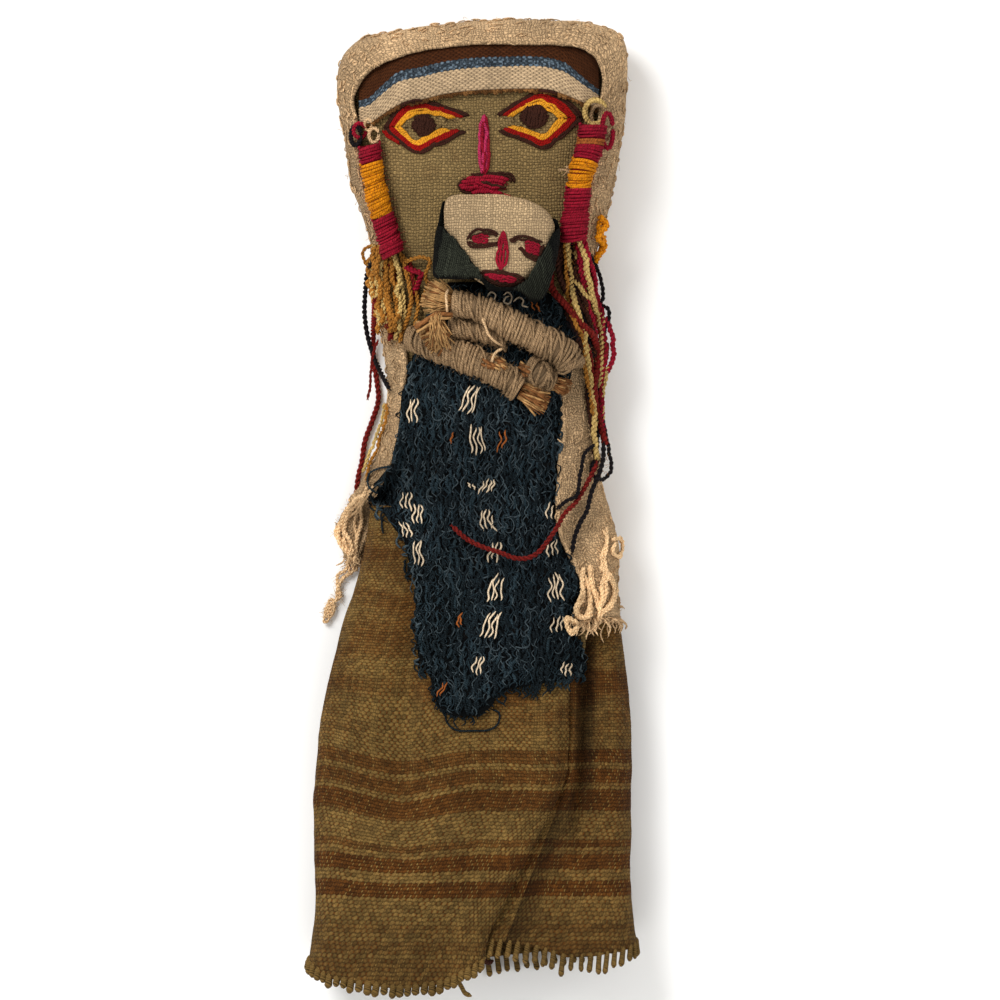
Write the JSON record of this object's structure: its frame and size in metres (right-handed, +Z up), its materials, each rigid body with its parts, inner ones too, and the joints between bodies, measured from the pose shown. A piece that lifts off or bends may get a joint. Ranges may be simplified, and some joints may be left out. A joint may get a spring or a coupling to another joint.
{
  "type": "cloth burial doll",
  "caption": "Stuffed cloth burial doll lying on its back in a gauze headcloth and a wound skirt, holding a smaller doll in yarn-bound arms.",
  "frame": {"origin": "on the table under the belly, at the middle of the flat back", "axes": "+X to the right of someone looking down on the face, +Y from the hem to the head, +Z up from the table"},
  "size_m": [0.1036, 0.3032, 0.0449],
  "materials": {
    "gauze": "open cream weave with loose ends",
    "face_cloth": "plain weave in olive and tan",
    "skirt_cloth": "close plain weave with brown bands and a frayed hem",
    "band_cloth": "striped band in brown, blue and cream",
    "indigo_cloth": "loose curly weave with cream brocade marks",
    "green_cloth": "close dark green weave",
    "child_cloth": "pale plain weave",
    "arm_yarn": "hemp-coloured yarn wound close",
    "reed": "split dry stems",
    "crimson_yarn": "two-ply camelid yarn",
    "orange_yarn": "yarn wound close",
    "ochre_yarn": "two-ply yarn",
    "black_yarn": "two-ply yarn",
    "dark_brown_yarn": "flat stitches with red and yellow rows",
    "pink_yarn": "flat stitches"
  },
  "bodies": {
    "root": {"stuffed_body": "face_cloth", "headcloth": "gauze", "headband": "band_cloth", "eye_left": "dark_brown_yarn", "eye_right": "dark_brown_yarn", "nose": "pink_yarn", "mouth": "crimson_yarn", "child_head": "child_cloth", "child_hood": "green_cloth", "child_eye_left": "dark_brown_yarn", "child_eye_right": "dark_brown_yarn", "child_nose": "crimson_yarn", "child_mouth": "crimson_yarn", "indigo_wrap": "indigo_cloth", "arm_upper_right": "arm_yarn", "arm_middle": "arm_yarn", "arm_lower_left": "arm_yarn", "arm_stub": "arm_yarn", "reeds_upper": "reed", "reeds_middle": "reed", "reeds_lower": "reed", "reeds_stub": "reed", "bound_lock_left": "orange_yarn", "bound_lock_right": "orange_yarn", "loop_left": "crimson_yarn", "loop_right": "ochre_yarn", "tassel_left": "ochre_yarn", "tassel_right": "ochre_yarn", "skirt": "skirt_cloth", "red_yarn_right": "crimson_yarn", "black_yarn_right": "black_yarn", "red_yarn_left": "crimson_yarn", "black_yarn_left": "black_yarn"}
  },
  "joints": []
}
